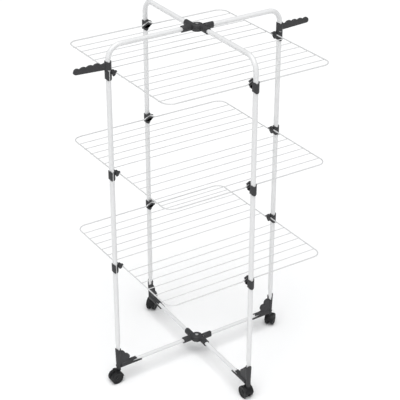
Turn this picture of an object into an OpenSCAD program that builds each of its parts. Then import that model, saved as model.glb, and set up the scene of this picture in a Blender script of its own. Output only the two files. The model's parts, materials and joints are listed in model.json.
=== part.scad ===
// Clothes drying rack: two turning frames on casters, with three folding tiers of wire racks.
// Frame A stands in the XZ plane and carries the racks' hinges; frame B stands in the YZ plane.
// Millimetres, +Z up, origin on the floor under the centre pivots.

/* [Frame] */
// Height of the top bars above the floor
height = 1370; // [1250:5:1650]
// Distance between opposite legs, centre to centre
leg_span = 700; // [600:5:860]
// Outer diameter of the frame tubes
tube_d = 18; // [16.5:0.5:22]
// Wall of the tubes
tube_wall = 1; // [0.8:0.1:1.5]
// Outer diameter of the swaged tube ends and of the base bars
spigot_d = 15; // [12:0.5:15.5]
// Radius of the bend at the top of each leg, to the middle of the tube
bend_r = 50; // [45:1:50]
// Height of the base bars above the floor
base_z = 70; // [69:1:90]
// Sideways offset of each half bar at the centre pivots
hub_offset = 10; // [9.5:0.5:14]
// Sideways offset of each leg from the middle plane of its frame
leg_offset = 3; // [1:0.5:5]

/* [Racks] */
// Height of the lowest rack
low_tier_z = 510; // [490:5:600]
// Distance from one rack to the next
tier_gap = 378; // [370:1:390]
// Diameter of the bent rim wire
rim_d = 4.4; // [3.5:0.1:5.5]
// Diameter of the cross wires
wire_d = 3; // [2:0.1:3.5]
// Number of cross wires on each half rack
wire_count = 6; // [4:1:7]
// Spacing of the cross wires
wire_pitch = 47; // [38:1:47]
// Distance of the first cross wire from the middle of the rack
first_wire_y = 46; // [35:1:50]
// Radius of the rim's corners, to the middle of the wire
corner_r = 36; // [20:1:45]
// Distance of the rim's outer wire from the leg's centre line
rim_to_leg = 19; // [18:0.5:24]
// Distance between the hinge lines of the two halves of a rack
hinge_gap = 12; // [10:0.5:14]
// Height of the raised stretch of rim that lies in a rest clip
hump_h = 12; // [8:0.5:15]
// Length of the raised stretch of rim
hump_w = 46; // [36:1:60]

/* [Clips] */
// Wall of a clip's collar round the leg
collar_wall = 3.3; // [2.5:0.1:4]
// Thickness of a hinge clip's bored plate
plate_t = 4.6; // [3:0.1:7]
// Depth of a clip below its rack
clip_below = 25; // [22:1:30]
// Width of a rest clip's jaw
jaw_w = 30; // [24:1:34]

/* [Hubs and brackets] */
// Radius of the two pivot discs
disc_r = 21; // [17:0.5:24]
// Outer diameter of the hub arms
arm_d = 24; // [20:0.5:25]
// Reach of the hub arms from the pivot
arm_reach = 60; // [50:1:80]
// Diameter of the pivot pins
pin_d = 8; // [6:0.5:10]
// Height of the corner brackets' leg sockets above the floor
bracket_top = 151; // [140:1:180]
// Reach of the corner brackets' lower prong along the base bars
bracket_reach = 98; // [80:1:120]

/* [Hanger arms] */
// Reach of a hanger arm from the leg's centre line
hanger_reach = 130; // [100:1:160]
// Thickness of a hanger arm
hanger_t = 9; // [6:0.5:12]
// Number of rounded teeth on a hanger arm
hanger_teeth = 4; // [3:1:6]
// Height of the hanger sleeve
hanger_h = 30; // [26:1:34]

/* [Casters] */
// Diameter of a wheel
wheel_d = 48; // [44:1:50]
// Width of a wheel
wheel_w = 13; // [11:1:16]
// Distance from the swivel axis to the axle
trail = 14; // [12:0.5:16]
// Diameter of the axle
axle_d = 6; // [5:0.5:8]
// Diameter of the swivel stem
stem_d = 8; // [6:0.5:10]

/* [Fits] */
// Gap between pieces that move past each other
gap = 0.3; // [0.25:0.05:0.4]
// Radial clearance of a pin or sleeve that turns
run_fit = 0.06; // [0.03:0.01:0.09]
// Radial clearance of a tube in its socket
socket_fit = 0.1; // [0.05:0.05:0.2]

/* [Hidden] */
$fn = 48;
leg_x = leg_span / 2;
tube_r = tube_d / 2;
spigot_r = spigot_d / 2;
rim_r = rim_d / 2;
top_z = height - tube_r;
leg_top = top_z - bend_r;
slant = atan((hub_offset - leg_offset) / leg_x);
bar_len = leg_x / cos(slant);
tier_z = [for (k = [0:2]) low_tier_z + k * tier_gap];
collar_r = tube_r + collar_wall;
near_u = collar_r + gap + rim_r;
far_u = near_u + rim_d + 2 * gap + plate_t;
rim_y = leg_x - rim_to_leg;
hinge_y = hinge_gap / 2;
arm_start = max(disc_r, hub_offset + arm_d / 2) + 2 * gap;
socket_r = spigot_r + socket_fit;
socket_end = 24;
swage_h = 6;
swage_z = bracket_top + 14;
spigot_z = 92;
clip_above = 13.7;
plate_above = 8.7;
rest_above = 14.5;
hanger_z = tier_z[2] + clip_above + gap;
rest_gap = 1.2;
wheel_r = wheel_d / 2;
web_t = 9;
caster_top = wheel_d + 7;
stem_top = caster_top + 24;
wheel_y = web_t / 2 + 0.4 + wheel_w / 2;
cut = 0.01;

SIDES = ["right", "left"];
ENDS = ["back", "front"];
TIERS = ["low", "middle", "top"];
CORNERS = ["right", "left", "back", "front"];
CASTER_TURN = [40, 180, 40, 90];

function corner_turn(c) = c == 0 ? 0 : c == 1 ? 180 : c == 2 ? 90 : -90;
function frame_of(c) = c < 2 ? "a" : "b";
function hand_of(c) = c < 2 ? 1 : -1;

// ---- places ----

// Puts its children at corner c, with +X pointing outwards along the frame.
module at_corner(c)
    rotate([0, 0, corner_turn(c)])
        translate([leg_x, -hand_of(c) * leg_offset, 0])
            children();

// The same, turned so that -X points exactly along the half bar to the centre pivot.
module along_bar(c)
    at_corner(c)
        rotate([0, 0, hand_of(c) * slant])
            children();

// A solid bar along -X from u0 to u1 at height z.
module bar_solid(u0, u1, z, r)
    translate([-u1, 0, z])
        rotate([0, 90, 0])
            cylinder(r = r, h = u1 - u0);

// ---- frame ----

module bent_tube_solid(shrink) {
    r = tube_r - shrink;
    rs = spigot_r - shrink;
    bar_end = bar_len - arm_reach - gap;
    over = shrink > 0 ? cut : 0;
    translate([0, 0, spigot_z - over]) cylinder(r = rs, h = swage_z - spigot_z + 2 * over);
    translate([0, 0, swage_z]) cylinder(r1 = rs, r2 = r, h = swage_h);
    translate([0, 0, swage_z + swage_h]) cylinder(r = r, h = leg_top - swage_z - swage_h);
    translate([-bend_r, 0, leg_top])
        rotate([90, 0, 0])
            rotate_extrude(angle = 90) translate([bend_r, 0]) circle(r = r);
    bar_solid(bend_r, bar_end - swage_h, top_z, r);
    translate([-bar_end, 0, top_z]) rotate([0, 90, 0]) cylinder(r1 = rs, r2 = r, h = swage_h);
    bar_solid(bar_end, bar_len - socket_end + over, top_z, rs);
}

module frame_tube(c)
    color("whitesmoke")
        along_bar(c)
            difference() {
                bent_tube_solid(0);
                bent_tube_solid(tube_wall);
            }

module base_bar(c)
    color("whitesmoke")
        along_bar(c)
            difference() {
                bar_solid(socket_end, bar_len - socket_end, base_z, spigot_r);
                bar_solid(socket_end - cut, bar_len - socket_end + cut, base_z, spigot_r - tube_wall);
            }

// ---- corner brackets ----

// Web between the two sockets, seen from the side: u is the distance inwards from the leg.
module bracket_web() {
    polygon([[0, -9], [0, 62], [12, 58], [30, 38], [47, 22], [64, 11], [64, -9]]);
    translate([14, 46]) circle(r = 15);
    translate([33, 27]) circle(r = 15);
}

module corner_bracket(c) {
    hand = hand_of(c);
    sleeve_r = spigot_r + 4;
    color("dimgray")
        along_bar(c)
            difference() {
                union() {
                    translate([0, 0, caster_top + gap])
                        cylinder(r1 = stem_d / 2 + 4.5, r2 = sleeve_r, h = bracket_top - caster_top - gap);
                    bar_solid(0, bracket_reach, base_z, sleeve_r);
                    translate([0, 0, base_z])
                        rotate([90, 0, 0])
                            linear_extrude(height = 12, center = true)
                                mirror([1, 0]) bracket_web();
                }
                translate([0, 0, spigot_z - 2]) cylinder(r = socket_r, h = bracket_top);
                bar_solid(socket_end - 4, bracket_reach + 5, base_z, socket_r);
                translate([0, 0, caster_top - 5]) cylinder(r = stem_d / 2 + run_fit, h = stem_top - caster_top + 6);
                // pointed mouth of the leg socket, deep on one face and shallow on the other
                for (face = [[-hand, 26], [hand, 9]])
                    translate([0, 0, bracket_top])
                        rotate([90, 0, 0])
                            translate([0, 0, face[0] > 0 ? -20 : 0])
                                linear_extrude(height = 20)
                                    polygon([[-sleeve_r, 1], [0, -face[1]], [sleeve_r, 1]]);
                // pointed mouth of the bar socket, with its upper prong shorter
                translate([0, 0, base_z])
                    rotate([90, 0, 0])
                        linear_extrude(height = 40, center = true)
                            mirror([1, 0])
                                polygon([[bracket_reach - 32, 3.5], [bracket_reach - 14, 7.5], [bracket_reach - 14, 20],
                                         [bracket_reach + 1, 20], [bracket_reach + 1, -5.3]]);
            }
}

// ---- centre hubs ----

// Two sockets of frame A or B on one half disc; side is -1 for the lower disc and 1 for the upper.
module hub(hand, side, z) {
    neck = arm_start - 2 * gap;
    disc_h = arm_d / 2 + 1;
    color("dimgray")
        translate([0, 0, z])
            rotate([0, 0, hand > 0 ? 0 : 90])
                difference() {
                    for (turn = [0, 180])
                        rotate([0, 0, turn]) {
                            translate([0, 0, side > 0 ? gap / 2 : -disc_h])
                                cylinder(r = disc_r, h = disc_h - gap / 2);
                            intersection() {
                                hub_arm(hand);
                                translate([arm_start, -50, -20]) cube([arm_reach, 100, 40]);
                            }
                            intersection() {
                                hub_arm(hand);
                                translate([0, hand > 0 ? -neck : 0, side > 0 ? gap / 2 : -20])
                                    cube([arm_start + 1, neck, 20 - gap / 2]);
                            }
                        }
                    for (turn = [0, 180])
                        rotate([0, 0, turn]) hub_bore(hand);
                    translate([0, 0, -30]) cylinder(r = pin_d / 2 + run_fit, h = 60);
                }
}

// Centre line of a hub's arm, from the pivot outwards.
module hub_line(hand)
    translate([0, -hand * hub_offset, 0])
        rotate([0, 0, hand * slant])
            children();

module hub_arm(hand)
    hub_line(hand)
        rotate([0, 90, 0])
            cylinder(r = arm_d / 2, h = arm_reach);

module hub_bore(hand)
    hub_line(hand)
        translate([socket_end - 2, 0, 0])
            rotate([0, 90, 0])
                cylinder(r = socket_r, h = arm_reach);

module pivot_pin(z) {
    head = arm_d / 2 + 1 + gap;
    color("silver")
        translate([0, 0, z]) {
            translate([0, 0, -head]) cylinder(r = pin_d / 2, h = 2 * head);
            translate([0, 0, head]) cylinder(r1 = pin_d / 2 + 3, r2 = pin_d / 2 + 1.5, h = 2);
            translate([0, 0, -head - 2]) cylinder(r1 = pin_d / 2 + 1.5, r2 = pin_d / 2 + 3, h = 2);
        }
}

// ---- clips on the legs ----

// Leaf-shaped collar: a ring with a scooped top and a rounded lower end.
module collar(above) {
    difference() {
        intersection() {
            translate([0, 0, -clip_below]) cylinder(r = collar_r, h = clip_below + above);
            rotate([90, 0, 0])
                linear_extrude(height = 40, center = true) {
                    translate([0, collar_r + 1 - clip_below]) circle(r = collar_r + 1);
                    translate([-20, collar_r + 2 - clip_below]) square([40, 50]);
                }
        }
        translate([0, 0, -50]) cylinder(r = tube_r + socket_fit, h = 100);
        translate([0, 0, above + 6]) rotate([90, 0, 0]) cylinder(r = 11, h = 40, center = true);
    }
}

// Hinge clip: the rims' ends turn in the two bores of its plate.
module hinge_clip(s, k) {
    near_v = leg_offset - hinge_y;
    far_v = leg_offset + hinge_y;
    bore_r = rim_r + run_fit;
    plate_u = near_u + rim_r + gap;
    color("dimgray")
        translate([0, 0, tier_z[k]])
            at_corner(s)
                difference() {
                    union() {
                        difference() {
                            collar(clip_above);
                            translate([-2.5, 0, -50]) cube([5, 40, 100]);
                        }
                        translate([-plate_u - plate_t, 0, 0])
                            rotate([90, 0, 90])
                                linear_extrude(height = plate_t)
                                    difference() {
                                        polygon([[near_v - 5.5, 6], [near_v - 2, plate_above], [far_v + 2, plate_above],
                                                 [far_v + 5.5, 3], [far_v + 4, -6], [far_v - 6, -15],
                                                 [near_v + 1, -15], [near_v - 5.5, -5]]);
                                        polygon([[near_v + 2.5, -5], [far_v - 2.5, -5], [far_v - 6.5, -12.5],
                                                 [near_v + 3, -12.5]]);
                                    }
                        difference() {
                            translate([-plate_u - 1, near_v + rim_r + 1, -12])
                                cube([plate_u - tube_r + 1, hinge_gap - 1, 12 + plate_above]);
                            translate([0, 0, -50]) cylinder(r = tube_r + socket_fit, h = 100);
                        }
                        // hood over the far wire
                        translate([-far_u - rim_r, far_v - 1, rim_r + 1.2])
                            cube([rim_d + 1, 9, 4]);
                    }
                    for (v = [near_v, far_v])
                        translate([-plate_u - plate_t - 1, v, 0])
                            rotate([0, 90, 0]) cylinder(r = bore_r, h = plate_t + (v == far_v ? 4 : 1.5));
                }
}

// Raised stretch of rim, seen along the leg's radius: half width w, height h.
module hump_line(w, h)
    polygon([[-w, 0], [0, h], [w, 0]]);

// Rest clip: the collar and the crescent over the rim's raised stretch.
module rest_clip(e, k) {
    block_u = rim_to_leg - rim_r - rest_gap;
    over_z = rim_r + 0.7;
    color("dimgray")
        translate([0, 0, tier_z[k]])
            at_corner(2 + e) {
                rotate([0, 0, 90]) collar(rest_above);
                difference() {
                    translate([-block_u, -jaw_w / 2, -14]) cube([block_u - tube_r, jaw_w, 14 + hump_h + over_z + 4]);
                    translate([0, 0, -50]) cylinder(r = tube_r + socket_fit, h = 100);
                }
                intersection() {
                    translate([-rim_to_leg - rim_r - 1.5, -jaw_w / 2, -1]) cube([rim_d + 4, jaw_w, 40]);
                    rotate([90, 0, 90])
                        linear_extrude(height = 60, center = true)
                            difference() {
                                translate([0, over_z + 4]) hump_line(hump_w / 2, hump_h);
                                translate([0, over_z]) hump_line(hump_w / 2, hump_h);
                            }
                }
            }
}

// Springy lip under the rim's raised stretch, which lets the wire snap in and out.
module rest_clip_lip(e, k) {
    block_u = rim_to_leg - rim_r - rest_gap;
    under_z = rim_r + 0.4;
    lip_u = rim_d + 2.5;
    color("dimgray")
        translate([0, 0, tier_z[k]])
            at_corner(2 + e)
                intersection() {
                    translate([-block_u - lip_u, -jaw_w / 2, -14]) cube([lip_u, jaw_w, 60]);
                    rotate([90, 0, 90])
                        linear_extrude(height = 60, center = true)
                            difference() {
                                translate([0, -under_z]) hump_line(hump_w / 2, hump_h);
                                translate([0, -under_z - 8]) hump_line(hump_w / 2, hump_h);
                            }
                }
}

// ---- racks ----

// A straight stretch of rim wire along +Z; what follows it starts at its end.
module wire(len) {
    cylinder(r = rim_r, h = len);
    translate([0, 0, len]) children();
}

// A bend in the rim wire, from +Z towards the angle roll round it; what follows it starts at its end.
module bend(angle, radius, roll)
    rotate([0, 0, roll]) {
        translate([radius, 0, 0])
            rotate([90, 0, 0])
                rotate([0, 0, 180 - angle])
                    rotate_extrude(angle = angle) translate([radius, 0]) circle(r = rim_r);
        translate([radius * (1 - cos(angle)), 0, radius * sin(angle)])
            rotate([0, angle, 0])
                rotate([0, 0, -roll])
                    children();
    }

// Half a rack's rim, bent from one wire: on each side a pivot end, a side wire and a corner, and between
// them the outer wire with its raised stretch. Built for the back half; the front is its half turn.
module rack_rim(k, e) {
    right_x = leg_x - far_u;
    left_x = leg_x - near_u;
    end_bend = rim_r + gap;
    kink_r = rim_r + 0.04;
    side_len = rim_y - corner_r - hinge_y - end_bend;
    rise = atan(hump_h / (hump_w / 2));
    slope_len = sqrt(pow(hump_h, 2) + pow(hump_w / 2, 2));
    color("whitesmoke")
        translate([0, 0, tier_z[k]])
            rotate([0, 0, 180 * e]) {
                for (side = [1, -1]) {
                    pivot_x = side > 0 ? right_x : -left_x;
                    translate([pivot_x + end_bend + plate_t, hinge_y, 0])
                        rotate([0, -90, 0])
                            wire(plate_t) bend(90, end_bend, 90)
                            wire(side_len) bend(90, corner_r, -90 * side)
                            wire(side * (pivot_x + leg_offset) - hump_w / 2 - corner_r);
                    // one slope of the raised stretch, from its kink at the foot
                    translate([-leg_offset + side * hump_w / 2, rim_y, 0]) {
                        sphere(r = kink_r);
                        rotate([0, -side * (90 - rise), 0]) cylinder(r = rim_r, h = slope_len);
                    }
                }
                translate([-leg_offset, rim_y, hump_h]) sphere(r = kink_r);
            }
}

// The cross wires lie under the side wires and are welded to them.
module rack_wires(k, e) {
    right_x = leg_x - far_u;
    left_x = leg_x - near_u;
    color("whitesmoke")
        translate([0, 0, tier_z[k]])
            rotate([0, 0, 180 * e])
                for (i = [0:wire_count - 1])
                    translate([-left_x, first_wire_y + i * wire_pitch, -rim_r - wire_d / 2])
                        rotate([0, 90, 0]) cylinder(r = wire_d / 2, h = left_x + right_x);
}

// ---- hanger arms ----

// Arm seen from the side: flat rising underside and rounded teeth on top.
module hanger_profile() {
    pitch = (hanger_reach - 28) / hanger_teeth;
    tooth_r = 20;
    tip_h = hanger_h * 0.77;
    intersection() {
        union() {
            for (i = [0:hanger_teeth - 1])
                translate([hanger_reach - 12 - i * pitch, hanger_h - 3 + 0.8 * i - tooth_r]) circle(r = tooth_r);
            translate([0, hanger_h - tooth_r]) circle(r = tooth_r);
            translate([0, 0]) square([hanger_reach - 12, hanger_h - tip_h]);
            polygon([[0, 0], [0, hanger_h - 2], [24, hanger_h - 8], [hanger_reach - 12, hanger_h - 10],
                     [hanger_reach - 12, 10]]);
        }
        union() {
            polygon([[0, 0], [hanger_reach - 9, hanger_h - tip_h - 1], [hanger_reach - 9, 60], [0, 60]]);
            translate([hanger_reach - 10.5, hanger_h - tip_h / 2 - 2]) circle(r = 10.5);
        }
    }
}

module hanger_arm(s) {
    sleeve_r = tube_r + 3;
    color("dimgray")
        translate([0, 0, hanger_z])
            at_corner(s)
                difference() {
                    union() {
                        cylinder(r = sleeve_r, h = hanger_h);
                        rotate([90, 0, 0])
                            linear_extrude(height = hanger_t, center = true) hanger_profile();
                    }
                    translate([0, 0, -5]) cylinder(r = tube_r + run_fit, h = 60);
                    translate([0, 0, hanger_h + 4]) rotate([90, 0, 0]) cylinder(r = 8, h = 40, center = true);
                }
}

// ---- casters ----

// Puts its children at caster c, with the swivel axis on the Z axis and the axle towards +X.
module at_caster(c)
    at_corner(c)
        rotate([0, 0, CASTER_TURN[c] - corner_turn(c)])
            children();

module caster_body(c)
    color("#1c1c1c")
        at_caster(c)
            difference() {
                union() {
                    translate([trail, 0, wheel_r])
                        rotate([90, 0, 0])
                            cylinder(r = wheel_r - 6, h = web_t, center = true);
                    translate([-4, -web_t / 2, wheel_r]) cube([trail + 4, web_t, wheel_r + 1]);
                    translate([0, 0, wheel_d + 0.4]) cylinder(r = stem_d / 2 + 4.5, h = caster_top - wheel_d - 0.4);
                    translate([0, 0, caster_top - 1]) cylinder(r = stem_d / 2, h = stem_top - caster_top + 1);
                    translate([trail, 0, wheel_r])
                        rotate([90, 0, 0])
                            rotate([0, 0, 80])
                                rotate_extrude(angle = 95)
                                    translate([wheel_r + 0.6, -wheel_y - wheel_w / 2]) square([2.4, 2 * wheel_y + wheel_w]);
                    translate([trail, 0, wheel_r])
                        rotate([90, 0, 0])
                            rotate([0, 0, 80])
                                rotate_extrude(angle = 95)
                                    translate([wheel_r - 8, -web_t / 2]) square([10, web_t]);
                }
                translate([trail, 0, wheel_r])
                    rotate([90, 0, 0]) cylinder(r = axle_d / 2, h = 80, center = true);
            }

module caster_axle(c)
    color("silver")
        at_caster(c)
            translate([trail, 0, wheel_r])
                rotate([90, 0, 0])
                    cylinder(r = axle_d / 2, h = 2 * (wheel_y + wheel_w / 2) - 6, center = true);

// Wheel profile: a rounded tread, a recessed face and a hub.
module wheel_profile(inner_r) {
    h = wheel_w / 2;
    difference() {
        union() {
            translate([inner_r, -h + 2]) square([wheel_r - inner_r, wheel_w - 4]);
            translate([inner_r, -h]) square([wheel_r - inner_r - 2, wheel_w]);
            for (s = [1, -1]) translate([wheel_r - 2, s * (h - 2)]) circle(r = 2);
        }
        translate([axle_d / 2 + 4, h - 3]) square([wheel_r - axle_d / 2 - 9, 5]);
    }
}

module caster_wheel(c, w) {
    inner_r = axle_d / 2 + run_fit;
    color("#262626")
        at_caster(c)
            translate([trail, 0, wheel_r])
                rotate([w == 0 ? 90 : -90, 0, 0])
                    translate([0, 0, wheel_y])
                        rotate_extrude(angle = 360) wheel_profile(inner_r);
}

// ---- the object ----

for (c = [0:3]) {
    frame_tube(c);
    base_bar(c);
    corner_bracket(c);
    caster_body(c);
    caster_axle(c);
    for (w = [0, 1])
        caster_wheel(c, w);
}
hub(1, -1, top_z);  // top_hub_a
hub(-1, 1, top_z);  // top_hub_b
hub(1, -1, base_z);  // base_hub_a
hub(-1, 1, base_z);  // base_hub_b
pivot_pin(top_z);  // top_pivot_pin
pivot_pin(base_z);  // base_pivot_pin
for (s = [0, 1]) {
    for (k = [0:2])
        hinge_clip(s, k);
    hanger_arm(s);
}
for (e = [0, 1]) {
    for (k = [0:2]) rest_clip(e, k);
    for (k = [0:2]) rest_clip_lip(e, k);
    for (k = [0:2]) {
        rack_rim(k, e);
        rack_wires(k, e);
    }
}
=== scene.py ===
import json
import math
import bmesh
import bpy
import numpy as np
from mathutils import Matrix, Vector

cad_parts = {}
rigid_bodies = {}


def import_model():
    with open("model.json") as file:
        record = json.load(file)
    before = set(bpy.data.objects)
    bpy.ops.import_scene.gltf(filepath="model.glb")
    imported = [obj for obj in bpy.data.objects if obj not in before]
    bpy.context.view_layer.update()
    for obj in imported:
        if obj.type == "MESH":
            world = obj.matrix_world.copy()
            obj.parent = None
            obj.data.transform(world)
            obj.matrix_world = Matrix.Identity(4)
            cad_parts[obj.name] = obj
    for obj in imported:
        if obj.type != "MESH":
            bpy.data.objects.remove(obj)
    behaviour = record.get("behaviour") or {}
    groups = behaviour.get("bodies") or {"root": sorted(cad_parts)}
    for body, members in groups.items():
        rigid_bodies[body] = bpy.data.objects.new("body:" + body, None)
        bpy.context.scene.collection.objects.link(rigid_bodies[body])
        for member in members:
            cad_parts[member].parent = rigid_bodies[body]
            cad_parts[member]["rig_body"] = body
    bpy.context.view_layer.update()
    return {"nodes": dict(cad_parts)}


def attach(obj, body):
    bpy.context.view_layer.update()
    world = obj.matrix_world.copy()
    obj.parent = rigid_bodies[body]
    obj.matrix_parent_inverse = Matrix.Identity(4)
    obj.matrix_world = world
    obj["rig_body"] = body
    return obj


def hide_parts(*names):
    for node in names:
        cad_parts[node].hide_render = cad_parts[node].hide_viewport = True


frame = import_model()

# ---- Camera, floor and light ----
# The rack stands on a plain pale studio floor and is seen from a little above, between two of
# its legs. Large soft lights overhead and from the left leave the round tubes gently shaded.

camera = bpy.data.cameras.new("camera")
camera.lens = 107.316
camera.sensor_width = 36.0
camera.shift_x = 0.014
camera.shift_y = -0.060
camera.clip_end = 60.0
camera_stand = bpy.data.objects.new("camera", camera)
camera_stand.location = (-2.08957, -3.26178, 2.79323)
camera_stand.rotation_euler = (math.radians(90 - 27.4235), 0.0, math.radians(-32.5078))
bpy.context.scene.collection.objects.link(camera_stand)
bpy.context.scene.camera = camera_stand


class Value:
    """A shader socket that takes part in sums: each operator adds one Math node to its material."""

    def __init__(self, finish, socket):
        self.finish, self.socket = finish, socket

    def sum(self, operation, a, b=0.0):
        return self.finish.node("ShaderNodeMath", {"operation": operation}, {0: a, 1: b})

    def __add__(self, other):
        return self.sum("ADD", self, other)

    def __radd__(self, other):
        return self.sum("ADD", other, self)

    def __mul__(self, other):
        return self.sum("MULTIPLY", self, other)

    def __rmul__(self, other):
        return self.sum("MULTIPLY", other, self)


class Finish:
    """A surface finish: one Principled shader and the nodes that feed it."""

    def __init__(self, name, **constants):
        self.material = bpy.data.materials.new(name)
        self.material.use_nodes = True
        self.tree = self.material.node_tree
        self.shader = self.tree.nodes["Principled BSDF"]
        for socket, value in constants.items():
            self.shader.inputs[socket.replace("_", " ")].default_value = value
        self.place = self.node("ShaderNodeTexCoord", {}, {}, 3)

    def node(self, kind, settings, sockets, out=0):
        """Adds a node, sets it up, then gives its sockets their values or links."""
        new = self.tree.nodes.new(kind)
        for key, value in settings.items():
            setattr(new, key, value)
        for socket, value in sockets.items():
            self.feed(new.inputs[socket], value)
        return Value(self, new.outputs[out])

    def feed(self, socket, value):
        if isinstance(value, Value):
            self.tree.links.new(value.socket, socket)
        else:
            socket.default_value = value

    def noise(self, scale, detail=2.0):
        return self.node("ShaderNodeTexNoise", {}, {"Vector": self.place, "Scale": scale, "Detail": detail})

    def step(self, value, low, high):
        """0 below low, 1 above high, and even between."""
        return self.node("ShaderNodeMapRange", {}, {0: value, 1: low, 2: high, 3: 0.0, 4: 1.0})

    def mix(self, share, a, b):
        """Colour a, which may itself be a mix, where share is 0, and colour b where it is 1."""
        a = a if isinstance(a, Value) else (*a, 1)
        return self.node("ShaderNodeMix", {"data_type": "RGBA"}, {0: share, 6: a, 7: (*b, 1)}, 2)

    def bump(self, height, strength, depth):
        bump = self.node("ShaderNodeBump", {}, {"Height": height, "Strength": strength, "Distance": depth})
        self.feed(self.shader.inputs["Normal"], bump)


floor_paint = Finish("studio_floor", Roughness=0.9, Specular_IOR_Level=0.1)
floor_paint.feed(floor_paint.shader.inputs["Base Color"],
                 floor_paint.mix(floor_paint.noise(0.6), (0.93, 0.93, 0.93), (0.95, 0.95, 0.95)))
floor_mesh = bpy.data.meshes.new("studio_floor")
floor_mesh.from_pydata([(-30, -30, -0.0006), (30, -30, -0.0006), (30, 30, -0.0006), (-30, 30, -0.0006)],
                       [], [(0, 1, 2, 3)])
floor = bpy.data.objects.new("studio_floor", floor_mesh)
floor_mesh.materials.append(floor_paint.material)
bpy.context.scene.collection.objects.link(floor)

world = bpy.data.worlds.new("studio_air")
world.use_nodes = True
world.node_tree.nodes["Background"].inputs["Color"].default_value = (0.96, 0.98, 1.0, 1)
world.node_tree.nodes["Background"].inputs["Strength"].default_value = 0.26
bpy.context.scene.world = world
bpy.context.scene.view_settings.view_transform = "Standard"

sky = bpy.data.lights.new("sky_light", "SUN")
sky.energy, sky.angle = 2.95, math.radians(60)
sky_stand = bpy.data.objects.new("sky_light", sky)
sky_stand.rotation_euler = (math.radians(21), 0.0, math.radians(-38))
bpy.context.scene.collection.objects.link(sky_stand)
lamp = bpy.data.lights.new("left_light", "AREA")
lamp.size, lamp.energy = 2.4, 6.0
lamp_stand = bpy.data.objects.new("left_light", lamp)
lamp_stand.location = (-3.6, -2.2, 2.6)
lamp_stand.rotation_euler = (Vector((0, 0, 0.6)) - lamp_stand.location).to_track_quat("-Z", "Y").to_euler()
bpy.context.scene.collection.objects.link(lamp_stand)

# ---- Bent frame tubes ----
# Four legs of 18 mm steel tube, each bent over at the top into half a crossbar. Both ends are
# swaged down to 15 mm, and push into a grey socket; the tube is coated with white enamel.

leg_x, leg_aside, slant = 0.350, 0.003, math.atan(0.007 / 0.350)
bar_length = leg_x / math.cos(slant)
top_bar_z, base_bar_z = 1.361, 0.070
corner_turn = {"right": 0.0, "left": math.pi, "back": math.pi / 2, "front": -math.pi / 2}
hand_of = {"right": 1, "left": 1, "back": -1, "front": -1}


def turned_about(points, angle, axis=2):
    """Turns points about the X, Y or Z axis: the two other coordinates mix by its cosine and sine."""
    a, b = [(1, 2), (2, 0), (0, 1)][axis]
    c, s = math.cos(angle), math.sin(angle)
    out = np.array(points, float)
    out[..., a] = c * points[..., a] - s * points[..., b]
    out[..., b] = s * points[..., a] + c * points[..., b]
    return out


def at_leg(points, corner, square=True):
    """Carries points from a leg's own place, with +X outwards, to that leg; square turns -X to the pivot."""
    if square:
        points = turned_about(points, hand_of[corner] * slant)
    return turned_about(points + (leg_x, -hand_of[corner] * leg_aside, 0), corner_turn[corner])


def unit(v):
    """Vectors divided by their lengths."""
    return v / np.linalg.norm(v, axis=-1, keepdims=True)


def bent_line(corners, radii, steps=10):
    """Centre line of a bent bar: straight between corners, and round each corner an arc that leaves the
    straight radius * tan(turn / 2) before it and joins the next straight as far after it."""
    corners = np.array(corners, float)
    line = [corners[:1]]
    for before, corner, after, radius in zip(corners, corners[1:], corners[2:], radii):
        a, b = unit(corner - before), unit(after - corner)
        turn = math.acos(np.clip(a @ b, -1, 1))
        inward = unit(b - a * (a @ b))
        start = corner - a * radius * math.tan(turn / 2)
        s = np.linspace(0, turn, max(3, int(steps * turn)))[:, None]
        line.append(start + radius * (a * np.sin(s) + inward * (1 - np.cos(s))))
    return np.concatenate(line + [corners[-1:]])


def carried(line, section, flat, scale=None):
    """A section carried along a line: each point of the section stands off the line by its first number
    sideways, square to the line and to the direction flat, and by its second number square to both."""
    ahead = unit(np.gradient(line, axis=0))
    aside = unit(np.cross(ahead, flat))
    up = np.cross(aside, ahead)
    size = np.ones(len(line)) if scale is None else scale
    across = section[:, 0, None] * aside[:, None] + section[:, 1, None] * up[:, None]
    return line[:, None] + size[:, None, None] * across


def circle(radius, around=28):
    """Section of a round bar: radius times the cosine and sine of even steps of one turn."""
    a = np.arange(around) / around * 2 * math.pi
    return radius * np.stack([np.cos(a), np.sin(a)], 1)


def closed_ends(skin, round_off=0.0004):
    """Closes both ends of a skin: a slightly smaller ring just outside each end, then a single point."""
    middles = skin.mean(1, keepdims=True)
    out = unit(middles[[0, -1]] - middles[[1, -2]]) * round_off
    ring = 1 - round_off / np.linalg.norm(skin - middles, axis=2).mean()
    first = middles[:1] + (skin[:1] - middles[:1]) * ring
    last = middles[-1:] + (skin[-1:] - middles[-1:]) * ring
    tips = np.repeat(middles[[0, -1]], skin.shape[1], axis=1)
    body = [skin[:1] - out[:1], skin[1:-1], skin[-1:] - out[1:]]
    return np.concatenate([tips[:1], first, *body, last, tips[1:]])


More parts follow.
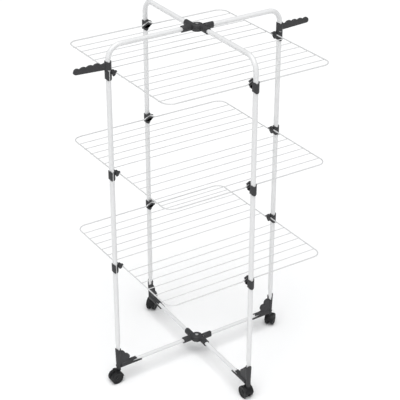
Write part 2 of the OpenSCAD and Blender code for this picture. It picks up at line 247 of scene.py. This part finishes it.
def add_piece(name, skins, finish, slot, *nodes, sharp=38):
    """Joins skins into one mesh. Each skin is a grid of points whose columns run once round and close; its
    end rows are single points, or are the same ring where it closes on itself."""
    points, quads, start = [], [], 0
    for skin in skins:
        rows, cols = skin.shape[:2]
        i = np.arange(rows - 1)[:, None] * cols
        j = np.arange(cols)[None]
        k = (j + 1) % cols
        quads.append((start + np.stack([i + j, i + k, i + cols + k, i + cols + j], -1)).reshape(-1, 4))
        points.append(skin.reshape(-1, 3))
        start += rows * cols
    quads = np.concatenate(quads)
    mesh = bpy.data.meshes.new(name)
    mesh.from_pydata(np.concatenate(points).tolist(), [], quads.tolist())
    shape = bmesh.new()
    shape.from_mesh(mesh)
    bmesh.ops.remove_doubles(shape, verts=shape.verts, dist=1e-6)
    bmesh.ops.recalc_face_normals(shape, faces=shape.faces)
    shape.to_mesh(mesh)
    shape.free()
    mesh.shade_smooth()
    mesh.set_sharp_from_angle(angle=math.radians(sharp))
    mesh.materials.append(finish.material)
    made = bpy.data.objects.new(name, mesh)
    bpy.context.scene.collection.objects.link(made)
    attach(made, frame["nodes"][nodes[0]]["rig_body"])
    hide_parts(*nodes)
    return made


def white_coat(name, peel_scale, tone):
    """Baked white coating: faint cloudy tone, orange-peel bump, and dull rubbed patches."""
    coat = Finish(name, Coat_Weight=0.35, Coat_Roughness=0.18, Specular_IOR_Level=0.5)
    cloud = coat.noise(14.0, 3.0)
    rubbed = coat.step(coat.noise(55.0, 5.0), 0.56, 0.74)
    shade = coat.mix(cloud, tuple(tone * c for c in (0.955, 0.96, 0.965)), (tone, tone, tone))
    shade = coat.mix(rubbed * 0.35, shade, tuple(tone * c for c in (0.90, 0.90, 0.89)))
    coat.feed(coat.shader.inputs["Base Color"], shade)
    coat.feed(coat.shader.inputs["Roughness"], 0.27 + 0.20 * rubbed + 0.06 * cloud)
    coat.bump(coat.noise(peel_scale, 2.0) + 0.35 * coat.noise(peel_scale * 0.16, 2.0), 0.22, 0.00012)
    return coat


white_enamel = white_coat("white_enamel", 900.0, 0.80)

tube_radius, swaged_radius, bend_radius, socket_play = 0.009, 0.0075, 0.050, 0.0001
spigot_z, swage_z, arm_reach, socket_start = 0.092, 0.165, 0.060, 0.024
for corner in corner_turn:
    bar_end = bar_length - arm_reach - 0.0003
    line = bent_line([(0, 0, spigot_z), (0, 0, top_bar_z), (-(bar_length - socket_start), 0, top_bar_z)],
                     [bend_radius], 22)
    along = np.concatenate([[0], np.cumsum(np.linalg.norm(np.diff(line, axis=0), axis=1))])
    total = along[-1]
    tail = bar_length - socket_start - bar_end
    steps = np.array([0, swage_z - spigot_z, swage_z - spigot_z + 0.002, swage_z - spigot_z + 0.006,
                      total - tail - 0.006, total - tail - 0.002, total - tail, total])
    sizes = [swaged_radius, swaged_radius, 0.0080, tube_radius,
             tube_radius, 0.0080, swaged_radius, swaged_radius]
    stops = np.union1d(along, np.concatenate([steps, np.linspace(0, total, 60)]))
    line = np.stack([np.interp(stops, along, line[:, i]) for i in range(3)], 1)
    tube = carried(line, circle(1.0, 36), (0, 1, 0), np.interp(stops, steps, sizes))
    frame_letter = "a" if hand_of[corner] > 0 else "b"
    add_piece(f"enamel_leg_{corner}", [at_leg(closed_ends(tube), corner)], white_enamel, "white_enamel",
              f"frame_{frame_letter}_{corner}_tube")

# ---- Base bars ----
# Straight 15 mm bars that join each leg's bracket to the pivot near the floor. They are cut from
# the same enamelled tube and pushed into the grey sockets at both ends.

for corner in corner_turn:
    ends = np.linspace(-(bar_length - socket_start), -socket_start, 14)
    line = np.stack([ends, 0 * ends, 0 * ends + base_bar_z], 1)
    bar = closed_ends(carried(line, circle(swaged_radius, 32), (0, 1, 0)))
    add_piece(f"enamel_base_bar_{corner}", [at_leg(bar, corner)], white_enamel, "white_enamel",
              f"base_bar_{corner}")

# ---- Centre hubs ----
# Two moulded half discs at the top and two at the bottom, one on the other, each with two round
# sockets for the bars of one frame. They turn on each other when the rack folds.


def grey_mould(name, dark, pale, grain=1500.0):
    """Moulded polypropylene: spark-eroded grain, faint flow marks, and paler scuffs in random patches."""
    mould = Finish(name, Specular_IOR_Level=0.30)
    flow = mould.noise(32.0, 4.0)
    scuff = mould.step(mould.noise(150.0, 6.0), 0.60, 0.76)
    shade = mould.mix(flow, dark, pale)
    worn = tuple(1.7 * c for c in pale)
    mould.feed(mould.shader.inputs["Base Color"], mould.mix(scuff * 0.4, shade, worn))
    mould.feed(mould.shader.inputs["Roughness"], 0.44 + 0.12 * flow + 0.14 * scuff)
    mould.bump(mould.noise(grain, 3.0) + 0.5 * mould.noise(grain / 5, 2.0), 0.35, 0.00015)
    return mould


grey_plastic = grey_mould("grey_plastic", (0.034, 0.034, 0.036), (0.050, 0.050, 0.052))


def socket_wall(outer, inner, low, high, around, edge=0.0007):
    """Wall of a socket round the Z axis. At each angle its section is a closed loop with rounded edges: up
    the outside from low to high, over the rim, and down the inside. low and high may vary by angle."""
    share = np.array([(1, 0, -1, 0), (1, 0, -.3, .3), (1, 0, 0, 1), (1, .5, 0, 0), (1, 1, 0, -1),
                      (1, 1, -.3, -.3), (1, 1, -1, 0), (0, 1, 1, 0), (0, 1, .3, -.3), (0, 1, 0, -1),
                      (0, .5, 0, 0), (0, 0, 0, 1), (0, 0, .3, .3), (0, 0, 1, 0)], float)
    low, high = np.broadcast_to(low, around.shape)[:, None], np.broadcast_to(high, around.shape)[:, None]
    z = low + (high - low) * share[:, 1] + edge * share[:, 3]
    outside = outer(z) if callable(outer) else outer
    r = inner + (outside - inner) * share[:, 0] + edge * share[:, 2]
    return np.stack([r * np.cos(around)[:, None], r * np.sin(around)[:, None], z], -1)


def spun(profile, around=64):
    """A profile of (radius, height) points turned once about Z; it starts and ends on the axis or itself."""
    a = np.arange(around) / around * 2 * math.pi
    r, z = np.array(profile, float).T
    return np.stack([r[:, None] * np.cos(a), r[:, None] * np.sin(a), z[:, None] + 0 * a], -1)


full_turn = np.linspace(0, 2 * math.pi, 73)
hub_aside, arm_radius, disc_radius, arm_start = 0.010, 0.012, 0.021, 0.0226


def hub_skins(hand, side):
    """Half a disc with a domed face, spun about the pivot, and two round sockets. Their mouths are hollowed
    at the sides, by 3.6 mm times the power 1.5 of the cosine of the angle round the socket."""
    skins = [spun([(0, side * 0.00015), (disc_radius - .0006, side * 0.00015), (disc_radius, side * 0.0008),
                   (disc_radius, side * 0.0092), (disc_radius - 0.0006, side * 0.0104),
                   (disc_radius - 0.0022, side * 0.0116), (disc_radius - 0.0050, side * 0.0123),
                   (0.0110, side * 0.0127), (0.0102, side * 0.0130), (0.0, side * 0.0130)])]
    for turn in (0.0, math.pi):
        sink = 0.0036 * np.abs(np.cos(full_turn)) ** 1.5
        arm = socket_wall(arm_radius, swaged_radius + socket_play, arm_start, arm_reach - sink, full_turn,
                          0.0012)
        arm = np.stack([arm[..., 2], arm[..., 0], arm[..., 1]], -1)
        half = np.linspace(0, math.pi, 17)
        neck_section = np.stack([-arm_radius * 0.995 * np.cos(half), side * np.maximum(
            0.00015, arm_radius * 0.995 * np.sin(half))], 1)
        stations = np.linspace(0.0, arm_start + 0.0012, 6)
        neck = closed_ends(np.stack([np.repeat(stations[:, None], 17, 1),
                                     np.repeat(neck_section[None, :, 0], 6, 0),
                                     np.repeat(neck_section[None, :, 1], 6, 0)], -1), 0.0002)
        for skin in (arm, neck):
            skin = turned_about(skin, hand * slant) + (0, -hand * hub_aside, 0)
            skins.append(turned_about(skin, turn))
    return [turned_about(skin, 0.0 if hand > 0 else math.pi / 2) for skin in skins]


for level, height in (("top", top_bar_z), ("base", base_bar_z)):
    for letter, hand, side in (("a", 1, -1), ("b", -1, 1)):
        add_piece(f"moulded_hub_{level}_{letter}", [skin + (0, 0, height) for skin in hub_skins(hand, side)],
                  grey_plastic, "grey_plastic", f"{level}_hub_{letter}")

# ---- Pivot pins ----
# A plated steel rivet through each pair of hubs, with a low domed head on both sides.

plated_steel = Finish("plated_steel", Metallic=1.0)
streaks = plated_steel.noise(260.0, 4.0)
plated_steel.feed(plated_steel.shader.inputs["Base Color"],
                  plated_steel.mix(streaks, (0.52, 0.52, 0.53), (0.68, 0.68, 0.67)))
plated_steel.feed(plated_steel.shader.inputs["Roughness"], 0.24 + 0.22 * streaks)
plated_steel.bump(streaks, 0.15, 0.0001)

for level, height in (("top", top_bar_z), ("base", base_bar_z)):
    head = [(0.0, 0.0152), (0.0018, 0.0151), (0.0036, 0.0147), (0.0052, 0.0140), (0.0066, 0.0134),
            (0.0068, 0.0133), (0.0040, 0.0133)]
    profile = head + [(r, -z) for r, z in reversed(head)]
    add_piece(f"steel_pivot_{level}", [spun(profile, 40) + (0, 0, height)], plated_steel, "plated_steel",
              f"{level}_pivot_pin")

# ---- Corner brackets ----
# One moulded grey bracket at the foot of each leg: an upright socket that narrows down to the
# caster's stem, a level socket for the base bar with a long lower prong, and a web between them.


def outline(distance, middle, count=120):
    """Outline of a plate: from the middle a ray runs out at each angle to where the distance is 0."""
    a = np.arange(count) / count * 2 * math.pi
    ray = np.stack([np.cos(a), np.sin(a)], 1)
    near, far = np.zeros(count), np.full(count, 0.2)
    for _ in range(22):
        half = (near + far) / 2
        inside = distance(middle + half[:, None] * ray) < 0
        near, far = np.where(inside, half, near), np.where(inside, far, half)
    return middle + half[:, None] * ray


def slab(edge_line, thickness, edge=0.0012, middle=None):
    """A plate with rounded edges: rings drawn in square to its outline as they rise over a quarter circle of
    radius edge, on both faces, and closed at the middle."""
    middle = edge_line.mean(0) if middle is None else middle
    along = unit(np.roll(edge_line, -1, 0) - np.roll(edge_line, 1, 0))
    inward = np.stack([-along[:, 1], along[:, 0]], 1)
    inward *= np.sign(np.sum(inward * (middle - edge_line), 1).mean())
    a = np.linspace(0, math.pi / 2, 4)[:, None, None]
    rings = edge_line + inward * edge * (1 - np.cos(a))
    rise = np.broadcast_to(thickness / 2 - edge + edge * np.sin(a), rings.shape[:2] + (1,))
    upper = np.concatenate([rings, rise], 2)
    inner = np.concatenate([middle + (rings[-1:] - middle) * f for f in (0.66, 0.33, 0.0)])
    face = np.concatenate([inner, np.full(inner.shape[:2] + (1,), thickness / 2)], 2)
    top = np.concatenate([upper, face])
    return np.concatenate([(top * (1, 1, -1))[::-1], top])


def rod(p, a, b, radius):
    """Distance from points to a round-ended rod between a and b."""
    a, b = np.array(a), np.array(b)
    share = np.clip(((p - a) @ (b - a)) / ((b - a) @ (b - a)), 0, 1)
    return np.linalg.norm(p - a - share[:, None] * (b - a), axis=1) - radius


def melted(parts, soft=0.002):
    """Smooth union of distances: minus soft times the log of the sum of exp(-distance / soft)."""
    return -soft * np.log(sum(np.exp(-np.clip(part / soft, -60, 60)) for part in parts))


def web_distance(p):
    """Distance to the bracket's web: an upright and a level rod, two lobes and a root, melted together."""
    return melted([rod(p, (-0.002, -0.002), (-0.002, 0.055), 0.007), rod(p, (0, 0), (-0.056, 0.001), 0.0098),
                   rod(p, (-0.014, 0.046), (-0.0141, 0.046), 0.0145),
                   rod(p, (-0.033, 0.027), (-0.0331, 0.027), 0.0145),
                   rod(p, (-0.016, 0.018), (-0.0161, 0.018), 0.018)], 0.0012)


bracket_top, sleeve_radius, bracket_foot = 0.151, 0.0115, 0.0553


def leg_taper(z):
    """Outer radius of the leg socket, growing evenly from the foot to the top."""
    return 0.0085 + (0.0115 - 0.0085) * np.clip((z - bracket_foot) / (bracket_top - bracket_foot), 0, 1)


def bracket_skins(hand):
    """Web plate, leg socket with a scooped mouth, solid foot with the stem's bore, and bar socket. The bar
    socket's mouth depends on the height above the bar: long below, shorter above, and slit between."""
    web_line = outline(web_distance, np.array([-0.014, 0.022]))
    web = slab(web_line, 0.0118, 0.0016, np.array([-0.014, 0.022]))
    web = np.stack([web[..., 0], -web[..., 2], web[..., 1] + base_bar_z], -1)
    deep = np.where(np.sin(full_turn) * hand < 0, 0.026, 0.009)
    outward = np.cos(full_turn)
    cut = np.minimum(0, -deep + (deep + 0.001) * np.where(outward > 0, 1.0, 0.25) * np.abs(outward))
    cut = np.convolve(np.pad(cut[:-1], 1, mode="wrap"), [0.2, 0.6, 0.2], "valid")
    leg = socket_wall(leg_taper, swaged_radius + socket_play, 0.088,
                      bracket_top + np.append(cut, cut[0]), full_turn)
    foot = spun([(0.0, 0.0900), (leg_taper(0.090), 0.0900), (leg_taper(0.074), 0.0740),
                 (leg_taper(0.0580), 0.0580), (leg_taper(bracket_foot) - 0.0002, 0.0562),
                 (leg_taper(bracket_foot) - 0.0009, bracket_foot), (0.00406, bracket_foot), (0.00406, 0.0808),
                 (0.0, 0.0810)], 56)
    lift = sleeve_radius * np.sin(full_turn)
    lower = np.clip((0.0025 - lift) / 0.0030, 0, 1) * 0.040
    upper = np.clip((lift - 0.0055) / 0.0025, 0, 1) * 0.026
    round_tip = 1.2 * np.maximum(np.abs(lift + 0.0020) - 0.0060, 0.0)
    mouth = 0.058 + lower + upper - round_tip
    bar = socket_wall(sleeve_radius, swaged_radius + socket_play, 0.008, mouth, full_turn)
    bar = np.stack([-bar[..., 2], bar[..., 0], bar[..., 1] + base_bar_z], -1)
    return [web, leg, foot, bar]


for corner in corner_turn:
    add_piece(f"moulded_bracket_{corner}", [at_leg(skin, corner) for skin in bracket_skins(hand_of[corner])],
              grey_plastic, "grey_plastic", f"corner_bracket_{corner}", sharp=50)

# ---- Hinge clips ----
# Six grey clips on the legs of frame A, one at each rack. A leaf-shaped collar with an open slot
# grips the leg, and an inner plate holds the hooked ends of the two half racks' rims.

tier_z = {"low": 0.510, "middle": 0.888, "top": 1.266}
rim_radius = 0.0022
collar_radius = 0.0123


def leaf_collar(above, start, stop):
    """Collar round a leg: its top edge is scooped by a round hollow, and its lower end is a half circle, both
    as seen across the frame."""
    around = np.linspace(start, stop, 73)
    across = collar_radius * np.cos(around)
    high = np.minimum(above + 0.006 - np.sqrt(np.maximum(0.011 ** 2 - across ** 2, 0.0)), above)
    low = collar_radius + 0.001 - 0.025 - np.sqrt((collar_radius + 0.001) ** 2 - across ** 2)
    return socket_wall(collar_radius, tube_radius + socket_play, low, high, around, 0.0008)


def capped(strip):
    """Closes the two ends of an open strip of sections, with the last step drawn in to round the end."""
    middles = strip.mean(1, keepdims=True)
    first, last = middles[:1], middles[-1:]
    return np.concatenate([np.repeat(first, strip.shape[1], 1), first + (strip[:1] - first) * 0.75,
                           strip[:1] * 0.3 + strip[1:2] * 0.7, strip[1:-1],
                           strip[-1:] * 0.3 + strip[-2:-1] * 0.7,
                           last + (strip[-1:] - last) * 0.75, np.repeat(last, strip.shape[1], 1)])


def brick(low, high, edge=0.0010):
    """A block with rounded edges: a rounded rectangle carried up from low to high, drawn in at both ends."""
    low, high = np.array(low), np.array(high)
    half = (high - low)[:2] / 2
    a = np.arange(24) / 24 * 2 * math.pi + math.pi / 24
    quarter = np.stack([np.sign(np.cos(a)), np.sign(np.sin(a))], 1)
    ring = quarter * (half - edge) + edge * np.stack([np.cos(a), np.sin(a)], 1)
    heights = np.array([low[2], low[2], low[2] + 0.3 * edge, low[2] + edge,
                        high[2] - edge, high[2] - 0.3 * edge, high[2], high[2]])
    shrink = np.array([0, 1 - edge / half.min(), 1 - 0.3 * edge / half.min(), 1,
                       1, 1 - 0.3 * edge / half.min(), 1 - edge / half.min(), 0])
    middle = (low + high)[:2] / 2
    rings = middle + ring[None] * shrink[:, None, None]
    return np.concatenate([rings, np.broadcast_to(heights[:, None, None], rings.shape[:2] + (1,))], 2)


def polar(line, middle, a):
    """Radius of a closed outline at the angles a round its middle."""
    off = line - middle
    angle = np.arctan2(off[:, 1], off[:, 0])
    order = np.argsort(angle)
    return np.interp(a, angle[order], np.linalg.norm(off, axis=1)[order], period=2 * math.pi)


def rounded_outline(corners, radius):
    """A polygon with each corner rounded to the same radius, as a dense closed line."""
    corners = np.array(corners, float)
    ring = np.concatenate([corners[-1:], corners, corners[:1]])
    level = np.concatenate([ring, np.zeros((len(ring), 1))], 1)
    bends = bent_line(level, [radius] * len(corners), 6)[1:-1, :2]
    gaps = np.roll(bends, -1, 0)
    return np.concatenate([bends + (gaps - bends) * f for f in np.linspace(0, 1, 6)[:-1]])


def pierced_slab(corners, hole, middle, thickness, edge=0.0007):
    """A plate with a hole: at each angle round the hole's middle a closed loop runs out over one face, round
    the outer edge, back over the other face and round the hole's edge."""
    a = np.linspace(0, 2 * math.pi, 97)
    outer = polar(rounded_outline(corners, 0.0022), middle, a)[:, None]
    inner = polar(rounded_outline(hole, 0.0010), middle, a)[:, None]
    share = np.array([(0, 1, 0), (1, -1, 0), (1, -.3, .3), (1, 0, 1), (1, 0, -1), (1, -.3, -.3), (1, -1, 0),
                      (0, 1, 0), (0, .3, -.3), (0, 0, -1), (0, 0, 1), (0, .3, .3)])
    side = np.array([1, 1, 1, 1, -1, -1, -1, -1, -1, -1, 1, 1])
    lift = np.array([0, 0, -.3, -1, -1, -.3, 0, 0, -.3, -1, -1, -.3])
    r = inner + (outer - inner) * share[:, 0] + edge * share[:, 1]
    z = side * (thickness / 2 + edge * lift)
    return np.stack([middle[0] + r * np.cos(a)[:, None], middle[1] + r * np.sin(a)[:, None],
                     np.broadcast_to(z, r.shape)], -1)


def rounded_bar(half_a, half_b, edge=0.0007):
    """Section of a flat bar: a rectangle whose corners are quarter circles of radius edge."""
    a = np.arange(24) / 24 * 2 * math.pi + math.pi / 24
    return np.stack([np.sign(np.cos(a)) * (half_a - edge) + edge * np.cos(a),
                     np.sign(np.sin(a)) * (half_b - edge) + edge * np.sin(a)], 1)


near_u, far_u, plate_thickness = 0.0148, 0.0244, 0.0046
near_v, far_v = -0.003, 0.009


def hinge_clip_skins():
    """Slotted collar, pierced plate square to the radius, the block between them, and a hook on an arc."""
    slot = math.asin(0.0025 / collar_radius)
    collar = capped(leaf_collar(0.0137, math.pi / 2 + slot, math.pi / 2 - slot + 2 * math.pi))
    plate = pierced_slab([(near_v - .0055, .006), (near_v - .002, .0087), (far_v + .002, .0087),
                          (far_v + .0055, .003), (far_v + .004, -.006), (far_v - .006, -.015),
                          (near_v + .001, -.015),
                          (near_v - .0055, -.005)],
                         [(near_v + .0025, -.005), (far_v - .0025, -.005), (far_v - .0065, -.0125),
                          (near_v + .003, -.0125)], np.array([0.0022, -0.0080]), plate_thickness)
    middle_u = near_u + rim_radius + 0.0003 + plate_thickness / 2
    plate = np.stack([-middle_u - plate[..., 2], plate[..., 0], plate[..., 1]], -1)
    block = brick((-0.0183, near_v + 0.0033, -0.0035), (-0.0092, far_v + 0.0052, 0.0085), 0.0012)
    a = np.radians(np.linspace(150, 40, 16))
    bend = np.stack([0 * a, far_v - 0.001 + 0.0075 * np.cos(a), -0.001 + 0.0075 * np.sin(a)], 1)
    hook = closed_ends(carried(bend, rounded_bar(0.0014, 0.0040), (1, 0, 0)), 0.0004) - (far_u - 0.0010, 0, 0)
    return [collar, plate, block, hook]


for tier, height in tier_z.items():
    for corner in ("right", "left"):
        add_piece(f"moulded_hinge_clip_{tier}_{corner}",
                  [at_leg(skin, corner, False) + (0, 0, height) for skin in hinge_clip_skins()],
                  grey_plastic, "grey_plastic", f"hinge_clip_{tier}_{corner}")

# ---- Rest clips ----
# Grey clips on the legs of frame B. A crescent above and a springy lip below hold the raised
# stretch of each rim, so that the racks snap in when the frame is open and out when it folds.

rim_to_leg, hump_height, hump_half, jaw_width = 0.019, 0.012, 0.023, 0.030


def humped_band(lift, low_u, high_u, thickness, reach):
    """A band over the raised wire: a flat section carried up one slope and down the other, softly peaked."""
    slope = hump_height / hump_half
    v = np.linspace(-reach, reach, 25)
    z = hump_height - slope * np.sqrt(v ** 2 + 0.0022 ** 2) + slope * 0.0022 + lift
    line = np.stack([0 * v - (low_u + high_u) / 2, v, z], 1)
    return closed_ends(carried(line, rounded_bar((high_u - low_u) / 2, thickness / 2), (0, 0, 1)), 0.0004)


block_u = rim_to_leg - rim_radius - 0.0012
for end in ("back", "front"):
    uppers, lowers = [], []
    for height in tier_z.values():
        collar = turned_about(leaf_collar(0.0145, 0.0, 2 * math.pi), math.pi / 2)
        block_line = rounded_outline([(-0.0148, 0.0012), (-0.0148, -0.0070), (-0.0070, -0.0138),
                                      (0.0070, -0.0138), (0.0148, -0.0070), (0.0148, 0.0012),
                                      (0.0056, 0.0060), (0.0050, 0.0170),
                                      (-0.0050, 0.0170), (-0.0056, 0.0060)], 0.0015)
        block = slab(block_line, block_u - 0.0093, 0.0012, np.zeros(2))
        block = np.stack([block[..., 2] - (block_u + 0.0093) / 2, block[..., 0], block[..., 1]], -1)
        crescent = humped_band(0.0058, block_u - 0.0010, rim_to_leg + rim_radius + 0.0012, 0.0030,
                               jaw_width / 2 - 0.0002)
        lip = humped_band(-0.0062, block_u + 0.0003, block_u + 0.0065, 0.0060, jaw_width / 2 - 0.0003)
        uppers += [at_leg(skin, end, False) + (0, 0, height) for skin in (collar, block, crescent)]
        lowers.append(at_leg(lip, end, False) + (0, 0, height))
    add_piece(f"moulded_rest_clips_{end}", uppers, grey_plastic, "grey_plastic", f"rest_clips_{end}")
    add_piece(f"moulded_rest_lips_{end}", lowers, grey_plastic, "grey_plastic", f"rest_clip_lips_{end}")

# ---- Folding racks ----
# Three racks in two halves. Each half is a 4.4 mm wire bent into a rim, with hooked ends that turn
# in the hinge clips, and six 3 mm wires welded across under it, all dipped in white coating.

coated_wire = white_coat("coated_wire", 1400.0, 0.66)
rim_y, corner_radius, wire_radius = 0.331, 0.036, 0.0015
wire_count, first_wire_y, wire_pitch = 6, 0.046, 0.047
right_x, left_x, hinge_y, end_bend = leg_x - far_u, leg_x - near_u, 0.006, 0.0025
for tier, height in tier_z.items():
    for end, turn in (("back", 0.0), ("front", math.pi)):
        peak = -leg_aside
        rim_line = bent_line([(right_x + end_bend + plate_thickness, hinge_y, 0), (right_x, hinge_y, 0),
                              (right_x, rim_y, 0), (peak + hump_half, rim_y, 0), (peak, rim_y, hump_height),
                              (peak - hump_half, rim_y, 0), (-left_x, rim_y, 0), (-left_x, hinge_y, 0),
                              (-left_x + end_bend + plate_thickness, hinge_y, 0)],
                             [end_bend, corner_radius, 0.003, 0.0015, 0.003, corner_radius, end_bend], 9)
        rim = closed_ends(carried(rim_line, circle(rim_radius, 20), (0, 0, 1)), 0.0003)
        add_piece(f"coated_rim_{tier}_{end}", [turned_about(rim, turn) + (0, 0, height)], coated_wire,
                  "coated_wire", f"rack_rim_{tier}_{end}")
        wires = []
        for i in range(wire_count):
            wire_y = first_wire_y + i * wire_pitch
            across = np.concatenate([[-left_x], np.linspace(-left_x + 0.004, right_x - 0.004, 12), [right_x]])
            line = np.stack([across, np.full(14, wire_y), np.full(14, -rim_radius - wire_radius)], 1)
            wires.append(closed_ends(carried(line, circle(wire_radius, 14), (0, 0, 1)), 0.0003))
            for x in (-left_x, right_x):
                bead = spun([(0, -0.0008), (0.0012, -0.0007), (0.0019, 0.0), (0.0012, 0.0007),
                             (0, 0.0008)], 10)
                wires.append(bead * (0.85, 1.35, 1) + (x, wire_y, -rim_radius - 0.0001))
        add_piece(f"coated_wires_{tier}_{end}", [turned_about(wire, turn) + (0, 0, height) for wire in wires],
                  coated_wire, "coated_wire", f"rack_wires_{tier}_{end}")

# ---- Hanger arms ----
# Two grey arms for clothes hangers, each on a sleeve that turns on a leg of frame A above the top
# rack. The underside rises outwards, and four rounded teeth keep the hangers apart.

hanger_z, hanger_reach, hanger_height, hanger_half, tooth_radius = 1.280, 0.130, 0.030, 0.0045, 0.020


def hanger_skins():
    """An arm whose section is a rounded bar from the underside's height to the teeth's height at each place
    along it, and a sleeve with a scooped top."""
    x = np.concatenate([np.linspace(0.010, hanger_reach - 0.006, 110), hanger_reach - 0.006 + 0.006 * np.sin(
        np.linspace(0.15, math.pi / 2, 9))])
    pitch = (hanger_reach - 0.028) / 4
    tops = [np.sqrt(np.maximum(tooth_radius ** 2 - (x - (hanger_reach - 0.012 - i * pitch)) ** 2, 0))
            + hanger_height - 0.023 + 0.0008 * i for i in range(4)]
    shoulder = np.sqrt(np.maximum(tooth_radius ** 2 - x ** 2, 0)) + hanger_height - tooth_radius
    web = np.interp(x, [0, 0.024, hanger_reach - 0.012],
                    [hanger_height - 0.002, hanger_height - 0.008, hanger_height - 0.010])
    high = np.max(tops + [shoulder, web], axis=0)
    low = np.interp(x, [0, hanger_reach - 0.009], [0.0, 0.0059])
    tip = np.clip((hanger_reach - x) / 0.0105, 0, 1)
    tip = np.sqrt(1 - (1 - tip) ** 2)
    middle, half = (high + low) / 2, (high - low) / 2
    middle = np.where(x > hanger_reach - 0.0105, middle - 0.001 * (1 - tip), middle)
    half, thick = half * tip, hanger_half * np.maximum(tip, 0.35) ** 0.5
    a = np.arange(28) / 28 * 2 * math.pi + math.pi / 28
    edge = 0.0016
    corner = np.minimum(edge, half * 0.9)[:, None]
    y = np.sign(np.cos(a)) * (thick[:, None] - edge) + edge * np.cos(a)
    z = middle[:, None] + np.sign(np.sin(a)) * (half[:, None] - corner) + corner * np.sin(a)
    arm = closed_ends(np.stack([np.repeat(x[:, None], 28, 1), y, z], -1), 0.0002)
    around = full_turn
    across = 0.012 * np.cos(around)
    scoop = np.where(np.abs(across) < 0.008, 0.004 - np.sqrt(np.maximum(0.008 ** 2 - across ** 2, 0)), 0.0)
    sleeve = socket_wall(0.012, tube_radius + 0.00006, 0.0, hanger_height + np.minimum(scoop, 0.0), around,
                         0.0007)
    return [arm, sleeve]


for corner in ("right", "left"):
    add_piece(f"moulded_hanger_arm_{corner}",
              [at_leg(skin, corner, False) + (0, 0, hanger_z) for skin in hanger_skins()],
              grey_plastic, "grey_plastic", f"hanger_arm_{corner}")

# ---- Casters ----
# Four swivelling twin-wheel casters. A black moulded body with a fender over the wheels turns on a
# stem in the bracket (a steel one, drawn here as part of the black body), and two black wheels run on a
# plated axle.

caster_black = grey_mould("caster_black", (0.006, 0.006, 0.007), (0.012, 0.012, 0.013))
wheel_black = grey_mould("wheel_black", (0.008, 0.008, 0.009), (0.016, 0.016, 0.017), 800.0)
caster_turn = {"right": 40, "left": 180, "back": 40, "front": 90}
wheel_radius, wheel_width, trail, web_half = 0.024, 0.013, 0.014, 0.0045
wheel_y = web_half + 0.0004 + wheel_width / 2


def at_caster(points, corner):
    """Carries points from a caster's own place, with the swivel on Z and the axle towards +X, to its leg."""
    place = at_leg(np.zeros((1, 3)), corner, False)[0]
    return turned_about(points, math.radians(caster_turn[corner])) + place


def on_axle(skin):
    """Lays a spun shape's axis from Z along Y, at the axle."""
    return np.stack([skin[..., 0] + trail, -skin[..., 2], skin[..., 1] + wheel_radius], -1)


fender_radius = 0.0258


def caster_skins():
    """Fender: a flat bar carried round an arc over the wheels; web between them; neck and stem, spun."""
    a = np.radians(np.linspace(81, 174.5, 34))
    fender_line = np.stack([trail + fender_radius * np.cos(a), 0 * a,
                            wheel_radius + fender_radius * np.sin(a)], 1)
    fender = carried(fender_line, rounded_bar(0.0012, wheel_y + wheel_width / 2), (0, 1, 0))
    rod_line = outline(lambda p: melted([rod(p, (0.014, 0.024), (0.0141, 0.024), 0.0178),
                                         rod(p, (0.002, 0.029), (0.002, 0.0445), 0.0055),
                                         rod(p, (0.010, 0.029), (0.010, 0.0435), 0.0055)], 0.001),
                       np.array([0.010, 0.030]))
    web = slab(rod_line, 2 * web_half - 0.0001, 0.0010, np.array([0.010, 0.030]))
    web = np.stack([web[..., 0], -web[..., 2], web[..., 1]], -1)
    neck = spun([(0, 0.0486), (0.0074, 0.0486), (0.0084, 0.0495), (0.0085, 0.0540), (0.0078, 0.0549),
                 (0.0040, 0.0550),
                 (0.0040, 0.0784), (0.0034, 0.0790), (0, 0.0790)], 48)
    return [closed_ends(fender, 0.0004), web, neck]


def wheel_skin():
    """A wheel's section: a rounded tread with a shallow groove, a sunk face, a raised hub and a bore."""
    h, r = wheel_width / 2, wheel_radius
    return spun([(0.00306, -h), (0.0222, -h), (r - 0.0006, -h + 0.0006), (r, -h + 0.0020), (r, -0.0016),
                 (r - 0.0004, -0.0011), (r - 0.0004, 0.0011), (r, 0.0016), (r, h - 0.0020),
                 (r - 0.0006, h - 0.0006), (0.0222, h), (0.0202, h),
                 (0.0192, h - 0.0006), (0.0184, h - 0.0022), (0.0174, h - 0.0028), (0.0090, h - 0.0030),
                 (0.0078, h - 0.0022), (0.0070, h - 0.0004), (0.0064, h), (0.00306, h), (0.00306, -h)], 72)


for corner in corner_turn:
    add_piece(f"caster_body_black_{corner}",
              [at_caster(skin, corner) for skin in caster_skins()], caster_black,
              "caster_black", f"caster_body_{corner}")
    axle_half = wheel_y + wheel_width / 2 - 0.003
    axle = spun([(0, -axle_half), (0.0024, -axle_half), (0.0030, -axle_half + 0.0006),
                 (0.0030, axle_half - 0.0006), (0.0024, axle_half), (0, axle_half)], 32)
    add_piece(f"steel_axle_{corner}", [at_caster(on_axle(axle), corner)], plated_steel, "plated_steel",
              f"caster_axle_{corner}")
    for which, side in (("inner", -1), ("outer", 1)):
        wheel = on_axle(wheel_skin() * (1, 1, -side) + (0, 0, -side * wheel_y))
        add_piece(f"wheel_black_{corner}_{which}", [at_caster(wheel, corner)], wheel_black, "wheel_black",
                  f"caster_wheel_{corner}_{which}")
